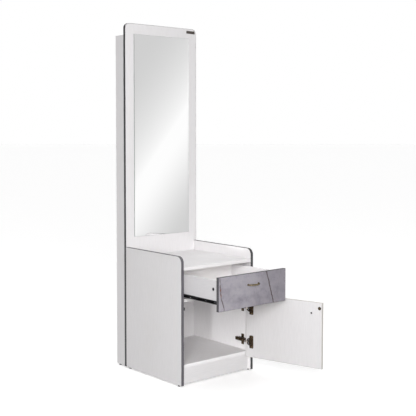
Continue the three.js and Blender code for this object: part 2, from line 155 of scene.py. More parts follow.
class Finish(Tree):
    """A Principled material whose textures are fixed to the piece."""

    def __init__(self, name, **uniform):
        self.material = bpy.data.materials.new(name)
        self.material.use_nodes = True
        super().__init__(self.material.node_tree)
        self.shader = self.tree.nodes["Principled BSDF"]
        for key, value in uniform.items():
            self.shader.inputs[key.replace("_", " ")].default_value = value
        self.where = self.node("ShaderNodeTexCoord").outputs["Object"]

    def paint(self, colour, roughness, normal=None):
        values = {"Base Color": colour, "Roughness": roughness, "Normal": normal}
        for key, value in values.items():
            if isinstance(value, bpy.types.NodeSocket):
                self.tree.links.new(value, self.shader.inputs[key])
            elif value is not None:
                self.shader.inputs[key].default_value = value
        return self.material


# ---- Materials of the boards


def white_laminate(name, grain, light="dfddde", dark="dad8d9"):
    """Melamine-faced board: a faint grain along one axis, fine pebbling and slight handling marks."""
    f = Finish(name, Specular_IOR_Level=0.35)
    along = tuple(16 if axis == grain else 1 for axis in "xyz")
    fibres = f.noise(f.where, 380, detail=5, stretch=along)
    clouds = f.noise(f.where, 6, detail=3)
    pebbles = f.noise(f.where, 1500, detail=2)
    grained = f.blend(f.spread(fibres, (0.3, 0.7)), linear(dark), linear(light))
    handled = f.blend(f.spread(clouds, (0.5, 0.8), (0, 0.3)), grained, linear("d8d5d3"))
    relief = f.math("ADD", fibres, f.math("MULTIPLY", pebbles, 0.6))
    rough = f.spread(clouds, (0.3, 0.7), (0.36, 0.5))
    return f.paint(handled, rough, f.bump(relief, 0.05 * MM, 0.4))


def edge_band(name, shade, dull, scuff, share):
    """Plastic edge band with a fine matt grain and small scuffs."""
    f = Finish(name, Specular_IOR_Level=0.45)
    grain = f.noise(f.where, 1100, detail=4)
    wear = f.noise(f.where, 170, detail=8, roughness=0.72)
    body = f.blend(f.spread(grain, (0.3, 0.7)), linear(dull), linear(shade))
    colour = f.blend(f.spread(wear, (0.62, 0.76), (0, share)), body, linear(scuff))
    rough = f.spread(grain, (0.3, 0.7), (0.34, 0.5))
    return f.paint(colour, rough, f.bump(grain, 0.06 * MM, 0.7))


# Each vein runs from point to point in X and Z, in millimetres, with its width
RIGHT_VEIN = ([(83, 539), (106, 463), (128, 390), (205, 135)], 4.2)
LEFT_VEIN = ([(-201, 539), (-197, 480), (-195, 455), (-176, 397), (-120, 72)], 3.0)
HAIRLINES = (
    ([(175, 530), (150, 440), (168, 385)], 1.6),
    ([(10, 480), (24, 452), (14, 420)], 1.8),
    ([(190, 505), (202, 470)], 1.6),
)
BRONZE_SPOTS = [(-197, 483), (-194, 456)]


def vein(f, flat, points, width):
    """How strongly a broken line of veins colours each place, from 0 to 1."""
    strongest = 0.0
    for start, end in zip(points, points[1:]):
        a = Vector((start[0], 0, start[1])) * MM
        b = Vector((end[0], 0, end[1])) * MM
        along = (b - a).normalized()
        across = Vector((along.z, 0, -along.x))
        away = f.math("ABSOLUTE", f.math("SUBTRACT", f.dot(flat, across), across.dot(a)))
        place = f.math("SUBTRACT", f.dot(flat, along), along.dot(a))
        middle = (b - a).length / 2
        past = f.math("SUBTRACT", f.math("ABSOLUTE", f.math("SUBTRACT", place, middle)), middle)
        line = f.spread(away, (width * MM, 0.25 * width * MM))
        held = f.math("MULTIPLY", line, f.spread(past, (0.8 * MM, 0.0)))
        strongest = f.math("MAXIMUM", strongest, held)
    return strongest


def stone_ground(f, flat, patches, speckle):
    """Clouds at three sizes, a little darker to the right."""
    clouds = f.noise(flat, 9, detail=6, roughness=0.6, stretch=(1.6, 1, 1))
    colour = f.blend(f.spread(clouds, (0.32, 0.68)), linear("7d7982"), linear("9f9ba3"))
    colour = f.blend(f.spread(patches, (0.38, 0.7), (0, 0.5)), colour, linear("a5a2a6"))
    colour = f.blend(f.spread(patches, (0.46, 0.3), (0, 0.45)), colour, linear("716b76"))
    colour = f.blend(f.spread(speckle, (0.45, 0.75), (0, 0.16)), colour, linear("625d66"))
    across = f.node("ShaderNodeSeparateXYZ", {0: f.where}).outputs["X"]
    return f.blend(f.spread(across, (-0.08, 0.16), (0, 0.42)), colour, linear("6a656d"))


def bronze_spot(f, flat, colour, x, z):
    """The colour with a soft flat oval of bronze on it."""
    offset = f.vector("SUBTRACT", flat, Vector((x, 0, z)) * MM)
    far = f.vector("LENGTH", f.vector("MULTIPLY", offset, (1.6, 0, 0.7)), result="Value")
    return f.blend(f.spread(far, (6.5 * MM, 2.5 * MM), (0, 0.8)), colour, linear("6e4230"))


def stone_laminate():
    """Grey stone print: clouds, hairline cracks, two dark brown veins and two bronze spots."""
    f = Finish("stone_laminate", Specular_IOR_Level=0.35)
    drift = f.node("ShaderNodeTexNoise", {"Vector": f.where, "Scale": 60.0, "Detail": 3.0}).outputs["Color"]
    wobble = f.vector("SUBTRACT", drift, (0.5, 0.5, 0.5))
    flat = f.vector("ADD", f.where, f.vector("MULTIPLY", wobble, (0.008, 0, 0.008)))
    patches = f.noise(flat, 32, detail=7, roughness=0.62)
    speckle = f.noise(f.where, 420, detail=4)
    colour = stone_ground(f, flat, patches, speckle)
    for points, width in HAIRLINES:
        colour = f.blend(f.math("MULTIPLY", vein(f, flat, points, width), 0.4), colour, linear("6f6870"))
    worn = f.spread(f.noise(f.where, 75, detail=2), (0.36, 0.52), (0.25, 1.0))
    left = f.math("MULTIPLY", vein(f, flat, *LEFT_VEIN), worn)
    right = vein(f, flat, *RIGHT_VEIN)
    colour = f.blend(f.math("MULTIPLY", left, 0.9), colour, linear("41322f"))
    colour = f.blend(f.math("MULTIPLY", right, 0.95), colour, linear("382823"))
    for x, z in BRONZE_SPOTS:
        colour = bronze_spot(f, flat, colour, x, z)
    rough = f.spread(patches, (0.3, 0.7), (0.4, 0.56))
    veins = f.math("MAXIMUM", left, right)
    relief = f.math("SUBTRACT", f.math("MULTIPLY", speckle, 0.3), veins)
    return f.paint(colour, rough, f.bump(relief, 0.12 * MM, 0.6))


def hardboard(name, light, dark):
    """Pressed fibre board, or the thin foil on its upper side."""
    f = Finish(name, Specular_IOR_Level=0.3)
    fibres = f.noise(f.where, 260, detail=7, roughness=0.7, stretch=(2.5, 1, 1))
    rough = f.spread(fibres, (0.3, 0.7), (0.5, 0.7))
    return f.paint(f.blend(fibres, linear(dark), linear(light)), rough, f.bump(fibres, 0.1 * MM, 0.6))


# ---- Materials of the mirror and the fittings


def silvering():
    """Mirror: almost clean, with a trace of dust and wiping that softens the reflection."""
    f = Finish("mirror_silver", Metallic=1.0)
    wipes = f.noise(f.where, 5, detail=4, stretch=(1, 1, 3))
    dust = f.noise(f.where, 900, detail=2)
    haze = f.math("MULTIPLY", f.spread(wipes, (0.45, 0.8)), f.spread(dust, (0.5, 0.8)))
    colour = f.blend(f.math("MULTIPLY", haze, 0.3), linear("f1f1f1"), linear("e3e3e3"))
    return f.paint(colour, f.spread(haze, (0, 1), (0.012, 0.07)))


def glass_edge():
    """Ground glass, a dull green-grey."""
    f = Finish("glass_edge", Specular_IOR_Level=0.6)
    waves = f.noise(f.where, 300, detail=3)
    colour = f.blend(waves, linear("59625f"), linear("7d8885"))
    return f.paint(colour, f.spread(waves, (0.3, 0.7), (0.12, 0.3)), f.bump(waves, 0.1 * MM, 0.5))


def metal(name, light, dark, worn, roughness, wear, metallic=1.0, specular=0.5):
    """Plated or painted metal: mottled, a little brighter where it is worn, with a fine casting grain."""
    f = Finish(name, Metallic=metallic, Specular_IOR_Level=specular)
    mottle = f.noise(f.where, 240, detail=6, roughness=0.65)
    scratches = f.noise(f.where, 1900, detail=3)
    body = f.blend(f.spread(mottle, (0.35, 0.65)), linear(dark), linear(light))
    colour = f.blend(f.spread(scratches, (0.6, 0.75), (0, wear)), body, linear(worn))
    rough = f.spread(mottle, (0.3, 0.7), (0.75 * roughness, 1.3 * roughness))
    return f.paint(colour, rough, f.bump(mottle, 0.05 * MM, 0.5))


def moulded(name, light, dark):
    """Moulded plastic with a spark-eroded grain."""
    f = Finish(name, Specular_IOR_Level=0.4)
    grain = f.noise(f.where, 1800, detail=3)
    colour = f.blend(grain, linear(dark), linear(light))
    return f.paint(colour, f.spread(grain, (0.3, 0.7), (0.42, 0.6)), f.bump(grain, 0.06 * MM, 0.7))


# ---- Mesh kit


def door_box(node):
    """Lowest and highest corner of a CAD node of the door, measured with the door closed."""
    back = OPENED.inverted()
    corners = [back @ v.co for v in frame["nodes"][node].data.vertices]
    return Vector(map(min, *corners)), Vector(map(max, *corners))


def moved(bm, matrix):
    bmesh.ops.transform(bm, matrix=matrix, verts=bm.verts)
    return bm


def joined(*meshes):
    """One mesh out of several."""
    whole = meshes[0]
    for bm in meshes[1:]:
        part = bpy.data.meshes.new("part")
        bm.to_mesh(part)
        bm.free()
        whole.from_mesh(part)
        bpy.data.meshes.remove(part)
    return whole


def block(low, high, rounding=ARRIS):
    """A box with rounded edges."""
    low = Vector(low)
    high = Vector(high)
    bm = bmesh.new()
    size = Matrix.Diagonal((*(high - low), 1))
    bmesh.ops.create_cube(bm, size=1, matrix=Matrix.Translation((low + high) / 2) @ size)
    bmesh.ops.bevel(bm, geom=bm.edges[:], offset=rounding, segments=2, profile=0.5, affect="EDGES")
    return bm


def aimed(point, axis):
    """The matrix that takes something drawn up the Z axis to a point, along another axis."""
    return Matrix.Translation(point) @ Z.rotation_difference(axis).to_matrix().to_4x4()


def rings_to_mesh(rings, closed=False):
    """Joins rings of points with faces. A closed set of rings meets itself; an open one is capped."""
    bm = bmesh.new()
    made = [[bm.verts.new(p) for p in ring] for ring in rings]
    count = len(made[0])
    pairs = list(zip(made, made[1:])) + ([(made[-1], made[0])] if closed else [])
    for one, other in pairs:
        for i in range(count):
            j = (i + 1) % count
            bm.faces.new((one[i], one[j], other[j], other[i]))
    if not closed:
        bm.faces.new(list(reversed(made[0])))
        bm.faces.new(made[-1])
    return bm


def turned(profile, point, axis, sides=SIDES):
    """A solid of revolution. Its profile is (radius, height) in millimetres, from the point up the axis."""
    turns = [2 * math.pi * i / sides for i in range(sides)]
    tiny = 0.01
    rings = [
        [Vector((max(r, tiny) * math.cos(t), max(r, tiny) * math.sin(t), h)) * MM for t in turns]
        for r, h in profile
    ]
    return moved(rings_to_mesh(rings), aimed(point, axis))


def rod(radius, start, end, point, axis, sides=SIDES):
    """A plain cylinder from start to end along the axis, in millimetres from the point."""
    return turned([(0, start), (radius, start), (radius, end), (0, end)], point, axis, sides)


def arc(centre, radius, start, end):
    """Points along part of a circle, between two angles in degrees."""
    turns = [math.radians(start + (end - start) * i / CORNER_STEPS) for i in range(CORNER_STEPS + 1)]
    return [Vector((centre[0] + radius * math.cos(t), centre[1] + radius * math.sin(t))) for t in turns]


def outline(left, right, bottom, top, radii=(0, 0, 0, 0)):
    """A rectangle's corner points. The radii start at the lower left and go by way of the lower right."""
    lower_left, lower_right, upper_right, upper_left = radii
    points = []
    for x, y, radius, start in (
        (left + lower_left, bottom + lower_left, lower_left, 180),
        (right - lower_right, bottom + lower_right, lower_right, 270),
        (right - upper_right, top - upper_right, upper_right, 0),
        (left + upper_left, top - upper_left, upper_left, 90),
    ):
        points += arc((x, y), radius, start, start + 90) if radius else [Vector((x, y))]
    return points


def mitres(points, closed=True):
    """Outward directions at an outline's points, long enough to keep both neighbouring edges parallel."""
    last = len(points) - 1
    found = []
    for i, here in enumerate(points):
        before = here - points[i - 1] if closed or i > 0 else points[1] - here
        after = points[(i + 1) % len(points)] - here if closed or i < last else before
        a = Vector((before.y, -before.x)).normalized()
        b = Vector((after.y, -after.x)).normalized()
        found.append((a + b) / (1 + a.dot(b)))
    return found


def plate(points, section, place):
    """A flat plate whose rim has a section, given as (outwards, along W) from its back to its front."""
    corners = list(zip(points, mitres(points)))
    rings = [[Vector((*(p + m * out), along)) for p, m in corners] for out, along in section]
    return moved(rings_to_mesh(rings), place)


def rim(start, end, rounding=ARRIS):
    """The section of a square edge from start to end along W, with both arrises rounded."""
    soft = 0.3 * rounding
    return [
        (-rounding, start),
        (-soft, start + soft),
        (0, start + rounding),
        (0, end - rounding),
        (-soft, end - soft),
        (-rounding, end),
    ]


def banded(points, start, end, place, closed=True):
    """An edge band laid along an outline."""
    inner = GLUE - BAND
    section = [(inner, start), *rim(start, end), (inner, end)]
    rings = [
        [Vector((*(p + m * out), along)) for out, along in section]
        for p, m in zip(points, mitres(points, closed))
    ]
    return moved(rings_to_mesh(rings, closed=closed), place)


def carved(bm, cutter):
    """The mesh with the cutter taken out of it."""
    scene = bpy.context.scene.collection
    objects = []
    for name, source in (("carved", bm), ("cutter", cutter)):
        bmesh.ops.recalc_face_normals(source, faces=source.faces)
        mesh = bpy.data.meshes.new(name)
        source.to_mesh(mesh)
        source.free()
        objects.append(bpy.data.objects.new(name, mesh))
        scene.objects.link(objects[-1])
    cut = objects[0].modifiers.new("cut", "BOOLEAN")
    cut.operation = "DIFFERENCE"
    cut.solver = "EXACT"
    cut.use_self = True
    cut.object = objects[1]
    graph = bpy.context.evaluated_depsgraph_get()
    left = bmesh.new()
    left.from_mesh(objects[0].evaluated_get(graph).to_mesh())
    for thing in objects:
        mesh = thing.data
        bpy.data.objects.remove(thing)
        bpy.data.meshes.remove(mesh)
    return left


def show(name, bm, body, materials, stands_for=(), turn=IN_PLACE, sharp=35):
    """Makes a piece of the finished mesh, which rides on its body and stands for its CAD nodes."""
    bmesh.ops.recalc_face_normals(bm, faces=bm.faces)
    mesh = bpy.data.meshes.new(name)
    bm.to_mesh(mesh)
    bm.free()
    mesh.shade_smooth()
    mesh.set_sharp_from_angle(angle=math.radians(sharp))
    for material in materials if isinstance(materials, tuple) else (materials,):
        mesh.materials.append(material)
    made = bpy.data.objects.new(name, mesh)
    bpy.context.scene.collection.objects.link(made)
    made.matrix_world = turn
    weighted = made.modifiers.new("normals", "WEIGHTED_NORMAL")
    weighted.keep_sharp = True
    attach(made, body)
    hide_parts(*stands_for)
    return made


def second_material(bm, chosen):
    """Gives the faces that the test picks the piece's second material."""
    bmesh.ops.recalc_face_normals(bm, faces=bm.faces)
    bm.normal_update()
    for face in bm.faces:
        face.material_index = int(chosen(face))
    return bm


# ---- Mirror board, rear frame and cabinet


def mirror_board():
    """White board with round upper corners, and its dark band along the sides and the top."""
    low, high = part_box("mirror_board_edge_band")
    whole = outline(low.x, high.x, low.z, high.z, (0, 0, MIRROR_CORNER, MIRROR_CORNER))
    radius = MIRROR_CORNER - BAND
    core = outline(low.x + BAND, high.x - BAND, low.z, high.z - BAND, (0, 0, radius, radius))
    board = plate(core, rim(low.y, high.y), FACING_FRONT)
    show("board", board, "carcass", LAMINATE_UP, ["mirror_board"])
    band = banded(whole[1:] + whole[:1], low.y, high.y, FACING_FRONT, closed=False)
    show("board_band", band, "carcass", BLACK_BAND, ["mirror_board_edge_band"])


def mirror_glass():
    """A pane with a ground bevel all round its face."""
    low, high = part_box("mirror_glass")
    bevel_width = 12 * MM
    bevel_depth = 0.2 * MM
    arris = 0.25 * MM
    edge = outline(low.x, high.x, low.z, high.z)
    section = [
        (0, high.y),
        (0, low.y + bevel_depth + arris),
        (-arris, low.y + bevel_depth),
        (-bevel_width, low.y),
    ]
    pane = plate(edge, section, FACING_FRONT)
    second_material(pane, lambda face: face.normal.y > -0.9)
    show("glass", pane, "carcass", (SILVER, GLASS_EDGE), ["mirror_glass"], sharp=1)


def name_plate():
    """A blank plate with a raised rim."""
    low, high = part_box("name_plate")
    edge = outline(low.x, high.x, low.z, high.z, (2 * MM,) * 4)
    section = [
        (0, high.y),
        (0, low.y + 0.3 * MM),
        (-0.3 * MM, low.y),
        (-0.9 * MM, low.y),
        (-1.2 * MM, low.y + 0.5 * MM),
        (-1.4 * MM, low.y + 0.5 * MM),
    ]
    show("plate", plate(edge, section, FACING_FRONT), "carcass", PLATE_BLACK, ["name_plate"])


def plain_boards():
    """The boards with straight edges, each with its grain along its length."""
    upright = ["rear_left_upright", "rear_right_upright"]
    level = ["rear_top_rail", "rear_middle_rail", "rear_bottom_rail"]
    level += ["top_board", "divider_shelf", "bottom_board", "plinth_board"]
    for node in upright + level:
        material = LAMINATE_UP if node in upright else LAMINATE_ACROSS
        show(f"{node}_panel", block(*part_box(node)), "carcass", material, [node])


def side_panels():
    """Each has its band up the front edge, round the corner and back along the top."""
    radius = SIDE_CORNER - BAND
    for side in ("left", "right"):
        node = f"{side}_side_edge_band"
        low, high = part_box(node)
        whole = outline(low.y, high.y, low.z, high.z, (0, 0, 0, SIDE_CORNER))
        core = outline(low.y + BAND, high.y, low.z, high.z - BAND, (0, 0, 0, radius))
        board = plate(core, rim(low.x, high.x), FACING_SIDE)
        show(f"{side}_side", board, "carcass", LAMINATE_UP, [f"{side}_side_panel"])
        band = banded(whole[2:] + whole[:1], low.x, high.x, FACING_SIDE, closed=False)
        # The left side's band is the dark band painted lighter: painted light where the left side is lit
        finish = SIDE_BAND_PAINTED_LIT if side == "left" else BLACK_BAND
        show(f"{side}_side_band", band, "carcass", finish, [node])


def glides():
    """Plastic glides with a chamfered foot and a recess for the nail."""
    profile = [(0, 6), (7, 6), (7, 1.6), (6.6, 0.6), (5.6, 0), (3.2, 0), (2.6, 0.6), (2.6, 2), (0, 2)]
    for side in ("left", "right"):
        for row in ("front", "middle", "rear"):
            node = f"{side}_{row}_glide"
            low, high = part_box(node)
            centre = Vector(((low.x + high.x) / 2, (low.y + high.y) / 2, low.z))
            show(f"{node}_foot", turned(profile, centre, Z), "carcass", PLASTIC, [node])


# ---- Small fittings


def cross_recess(head, point, axis, arm, half, bottom, top):
    """The head with a cross sunk into it, from bottom to top above the point."""
    place = aimed(point, axis)
    for x, y in ((arm, half), (half, arm)):
        head = carved(head, moved(block((-x, -y, bottom), (x, y, top), 0.1 * half), place))
    return head


def screw_head(radius, height, point, axis):
    """A pan head with a cross recess. The point is on the surface that it sits on."""
    curve = [(1.0, 0.0), (1.0, 0.35), (0.93, 0.6), (0.78, 0.82), (0.5, 0.96), (0.0, 1.0)]
    profile = [(0, -0.2), (radius, -0.2)] + [(radius * r, height * h) for r, h in curve]
    head = turned(profile, point, axis, SCREW_SIDES)
    size = radius * MM
    return cross_recess(head, point, axis, 0.62 * size, 0.13 * size, 0.45 * height * MM, 2 * height * MM)


def screw_heads(radius, height, seats, axis):
    """Several pan heads as one mesh."""
    return joined(*[screw_head(radius, height, seat, axis) for seat in seats])


def countersunk(radius, point, axis):
    """A flat screw head, level with the surface, with a cross recess."""
    profile = [(0, -1.6), (0.45 * radius, -1.6), (radius, -0.1), (0.96 * radius, 0.12), (0, 0.2)]
    head = turned(profile, point, axis, SCREW_SIDES)
    size = radius * MM
    return cross_recess(head, point, axis, 0.6 * size, 0.13 * size, -0.8 * MM, MM)


def face_middle(low, high, y):
    """The middle of a box in X and Z, at that Y."""
    return Vector(((low.x + high.x) / 2, y, (low.z + high.z) / 2))


def board_screw(low, high):
    """The pan head of a screw through a board, at the inner end of the CAD screw's box."""
    seat = face_middle(low, high, high.y - PAN_HEIGHT * MM)
    return screw_head(PAN_RADIUS, PAN_HEIGHT, seat, Y)


# ---- Drawer


def drawer_front():
    """Stone outside and white inside, banded all round."""
    low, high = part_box("drawer_front_edge_band")
    edge = outline(low.x, high.x, low.z, high.z)
    inset = Vector((BAND, 0, BAND))
    face = block(low + inset, high - inset)
    second_material(face, lambda f: f.normal.y > 0.5)
    show("drawer_face", face, "drawer", (STONE, LAMINATE_ACROSS), ["drawer_front"])
    band = banded(edge, low.y, high.y, FACING_FRONT)
    show("drawer_face_band", band, "drawer", FRONT_BAND, ["drawer_front_edge_band"])


def drawer_wall(side, outward, groove):
    """A drawer side with the groove for the bottom, and the bore that holds its cam."""
    low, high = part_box(f"{side}_cam_fitting")
    centre = (low + high) / 2
    radius = (high.z - low.z) / 2 / MM
    depth = (high.x - low.x) / MM
    face = Vector((low.x if side == "left" else high.x, centre.y, centre.z))
    bore = rod(radius + PLAY, -depth - PLAY, CUT_OVERRUN, face, outward)
    node = f"drawer_{side}_side"
    wall = carved(carved(block(*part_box(node)), groove), bore)
    # The drawer's sides wear a darker copy of the white laminate: painted shade
    show(f"{node}_wall", wall, "drawer", LAMINATE_DEEP_SHADED, [node], sharp=30)
    cam_fitting(side, face, outward, radius, depth)


def drawer_box():
    """The drawer's sides, back and bottom."""
    base_low, base_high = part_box("drawer_bottom")
    past = Vector((0, MM, PLAY * MM))
    for side, outward in (("left", -X), ("right", X)):
        drawer_wall(side, outward, block(base_low - past, base_high + past, 0.1 * MM))
    rear = block(*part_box("drawer_back"))
    show("drawer_rear", rear, "drawer", LAMINATE_ACROSS, ["drawer_back"])
    base = block(base_low, base_high, 0.15 * MM)
    second_material(base, lambda f: f.normal.z > 0.5)
    show("drawer_base", base, "drawer", (FIBRE, FOIL), ["drawer_bottom"])


def cam_fitting(side, face, outward, radius, depth):
    """A zinc cam with a raised rim, a cross recess and one notch that shows which way it is turned."""
    dish = [(radius, -0.3), (radius - 0.3, 0), (radius - 0.9, 0), (radius - 1.1, -0.4), (0, -0.4)]
    body = turned([(0, -depth), (radius, -depth), *dish], face, outward)
    place = aimed(face, outward)
    arm = 4.3 * MM
    half = 0.7 * MM
    notch = 1.1 * MM
    for low, high in (
        ((-arm, -half), (arm, half)),
        ((-half, -arm), (half, arm)),
        ((-notch, 5.0 * MM), (notch, 6.2 * MM)),
    ):
        body = carved(body, moved(block((*low, -2 * MM), (*high, 2 * MM), 0.1 * MM), place))
    show(f"{side}_cam", body, "drawer", CAM_ZINC, [f"{side}_cam_fitting"])


def bezier(a, b, c, d, t):
    """The point at t, from 0 to 1, on a curve that leaves a towards b and reaches d from c."""
    s = 1 - t
    return s**3 * a + 3 * s * s * t * b + 3 * s * t * t * c + t**3 * d


def handle_bow(a, b, c, d):
    """An oval bar along a curve, wide in the middle and narrowest at its tips."""
    steps = 48
    sides = 32
    step = 0.01
    turns = [2 * math.pi * k / sides for k in range(sides)]
    rings = []
    for i in range(steps + 1):
        t = i / steps
        centre = bezier(a, b, c, d, t)
        along = bezier(a, b, c, d, min(1, t + step)) - bezier(a, b, c, d, max(0, t - step))
        out = along.normalized().cross(Z)
        swell = math.sin(math.pi * t) ** 0.6
        share = 0.6 if i in (0, steps) else 1
        wide = share * (2.9 + 1.5 * swell) * MM
        deep = share * (2.1 + 0.4 * swell) * MM
        rings.append([centre + Z * wide * math.sin(s) + out * deep * math.cos(s) for s in turns])
    return rings_to_mesh(rings)


def drawer_handle():
    """A bow on two turned posts."""
    low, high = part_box("drawer_handle")
    height = (low.z + high.z) / 2
    front = high.y
    half_span = 32 * MM
    ends = half_span + 2.2 * MM
    near = front - 6.5 * MM
    far = front - 26 * MM
    course = [(-ends, near), (-ends / 2, far), (ends / 2, far), (ends, near)]
    bow = handle_bow(*[Vector((x, y, height)) for x, y in course])
    flare = [(0, 0), (5, 0), (5, 0.9), (4.5, 1.4), (3.4, 2.2)]
    neck = [(3.0, 4), (3.1, 6), (3.4, 7.6), (2.6, 8.7), (0, 9)]
    posts = [turned(flare + neck, Vector((x, front, height)), -Y) for x in (-half_span, half_span)]
    handle = joined(bow, *posts)
    show("handle_bow", handle, "drawer", BRASS, ["drawer_handle"], sharp=50)


def inner_screws():
    """The screws whose heads show inside the drawer front and on the door's inner face."""
    for side in ("left", "right"):
        node = f"{side}_handle_screw"
        show(f"{node}_head", board_screw(*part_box(node)), "drawer", ZINC, [node])
    head = board_screw(*door_box("knob_screw"))
    show("knob_screw_head", head, "door", CAM_ZINC, ["knob_screw"], OPENED)


# ---- Drawer slides

# Along a slide member, from its front end, in millimetres
OUTER_HOLES = [30, 94, 126, 190, 254, 318]
MIDDLE_HOLES = [20, 100, 180]
STOP_RIVET = 58
MEMBER_SCREWS = [18, 78, 177, 325]
SHEET = 1.5 * MM


def channel(low, high, side, holes, radius):
    """A rolled steel channel. Its web is on the cabinet's side and its lips point to the drawer."""
    web = low.x if side < 0 else high.x
    lips = high.x if side < 0 else low.x
    inward = -side
    fillet = 1.2 * MM
    inner = SHEET + 0.4 * MM
    half = [
        (web, fillet),
        (web + inward * fillet, 0),
        (lips, 0),
        (lips, SHEET),
        (web + inward * inner, SHEET),
        (web + inward * SHEET, inner),
    ]
    ends = [(x, high.z - z) for x, z in half] + [(x, low.z + z) for x, z in reversed(half)]
    rings = [[Vector((x, y, z)) for x, z in ends] for y in (low.y, high.y)]
    body = rings_to_mesh(rings)
    middle = (low.z + high.z) / 2
    for back in holes:
        at = Vector((web, low.y + back * MM, middle))
        body = carved(body, rod(radius, -CUT_OVERRUN, CUT_OVERRUN, at, X, PIN_SIDES))
    return body


def slides():
    """Three steel members a side: one on the cabinet wall, one between, one on the drawer."""
    for name, side in (("left", -1), ("right", 1)):
        node = f"{name}_slide_outer"
        outer = channel(*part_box(node), side, OUTER_HOLES, 2.2)
        show(f"{name}_slide_wall_member", outer, "carcass", BLACK_STEEL, [node])

        node = f"{name}_slide_middle"
        low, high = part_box(node)
        middle = channel(low, high, side, MIDDLE_HOLES, 1.8)
        show(f"{name}_slide_middle_member", middle, "slide_middles", BLACK_STEEL, [node])
        web = low.x if side < 0 else high.x
        seat = Vector((web, low.y + STOP_RIVET * MM, (low.z + high.z) / 2))
        rivet = turned([(0, -0.2), (2.6, -0.2), (2.6, 0.1), (1.8, 0.45), (0, 0.5)], seat, X * side, PIN_SIDES)
        show(f"{name}_slide_stop", rivet, "slide_middles", ZINC)

        drawer_member(name, side)


def drawer_member(name, side):
    """A plate against the drawer's side with two raised races, and bright screws between them."""
    node = f"{name}_slide_inner"
    low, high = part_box(node)
    face = high.x if side < 0 else low.x
    tip = low.x if side < 0 else high.x
    middle = (low.z + high.z) / 2
    web = face + side * SHEET
    bodies = [block((min(face, web), low.y, low.z), (max(face, web), high.y, high.z), 0.3 * MM)]
    for lift in (-1, 1):
        near = middle + lift * 2.7 * MM
        far = middle + lift * 3.8 * MM
        bottom = (min(web, tip), low.y, min(near, far))
        top = (max(web, tip), high.y, max(near, far))
        bodies.append(block(bottom, top, 0.25 * MM))
    show(f"{name}_slide_drawer_member", joined(*bodies), "drawer", BLACK_STEEL, [node])
    seats = [Vector((web, low.y + back * MM, middle)) for back in MEMBER_SCREWS]
    screws = screw_heads(2.6, 1.6, seats, X * side)
    show(f"{name}_slide_screws", screws, "drawer", ZINC)


# ---- Door


def door_board():
    """White inside and stone outside, with two bores for the hinge cups."""
    low, high = door_box("door_edge_band")
    edge = outline(low.x, high.x, low.z, high.z)
    inset = Vector((BAND, 0, BAND))
    face = block(low + inset, high - inset)
    for place in ("upper", "lower"):
        bottom, top = door_box(f"{place}_hinge_cup")
        centre = Vector((top.x - CUP_RIM * MM, high.y, (bottom.z + top.z) / 2))
        face = carved(face, rod(CUP_RADIUS + PLAY, -CUP_DEPTH - PLAY, CUT_OVERRUN, centre, Y))
    second_material(face, lambda f: f.normal.y < -0.5)
    show("door_board", face, "door", (LAMINATE_UP, STONE), ["door_panel"], OPENED, sharp=30)
    band = banded(edge, low.y, high.y, FACING_FRONT)
    show("door_band", band, "door", PALE_BAND, ["door_edge_band"], OPENED)


def door_knob():
    """A turned knob with a waisted neck and a ring on its crown."""
    low, high = door_box("door_knob")
    foot = face_middle(low, high, high.y)
    base = [(0, 0), (7.5, 0), (7.5, 1.3), (7.0, 1.9), (5.6, 2.6)]
    neck = [(4.6, 4.2), (4.3, 7), (4.5, 10), (5.4, 12.4), (7.6, 14.0)]
    head = [(10.2, 15.0), (11.6, 16.0), (12.2, 17.4), (12.0, 19.0), (10.8, 20.4), (8.6, 21.3), (6.2, 21.9)]
    ringed_crown = [(5.9, 21.6), (5.4, 21.6), (5.0, 22.0), (2.5, 22.4), (0, 22.5)]
    knob = turned(base + neck + head + ringed_crown, foot, -Y, 64)
    show("knob", knob, "door", BRASS, ["door_knob"], OPENED, sharp=50)


def door_catch():
    """The steel disc on the door, and under the divider the catch with its two pole plates."""
    low, high = door_box("strike_disc")
    seat = face_middle(low, high, low.y)
    ring = [(0, 0), (7.7, 0), (8, 0.4), (7.8, 1.2), (7.2, 1.5), (5.2, 1.5), (4.2, 0.8), (0, 0.8)]
    show("strike", turned(ring, seat, Y), "door", DARK_BRONZE, ["strike_disc"], OPENED)
    centre = seat + Y * 1.2 * MM
    show("strike_screw", countersunk(3.4, centre, Y), "door", BRASS, turn=OPENED)

    low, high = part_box("magnetic_catch")
    thick = 1.2 * MM  # of a pole plate, and how far the plates stand out of the housing
    body = block(low + Y * thick, high, thick)
    rear = low.y + 4 * MM
    slot = block((low.x + 4 * MM, low.y - MM, low.z + 3 * MM), (high.x - 4 * MM, rear, high.z - 3 * MM))
    show("catch_housing", carved(body, slot), "carcass", PLASTIC, ["magnetic_catch"])
    left = low.x + 4.4 * MM
    right = high.x - 4.4 * MM
    plates = [
        block((left, low.y, z), (right, rear, z + thick), 0.2 * MM)
        for z in (low.z + 3.4 * MM, high.z - 4.6 * MM)
    ]
    show("catch_plates", joined(*plates), "carcass", ZINC)


# ---- Concealed hinges


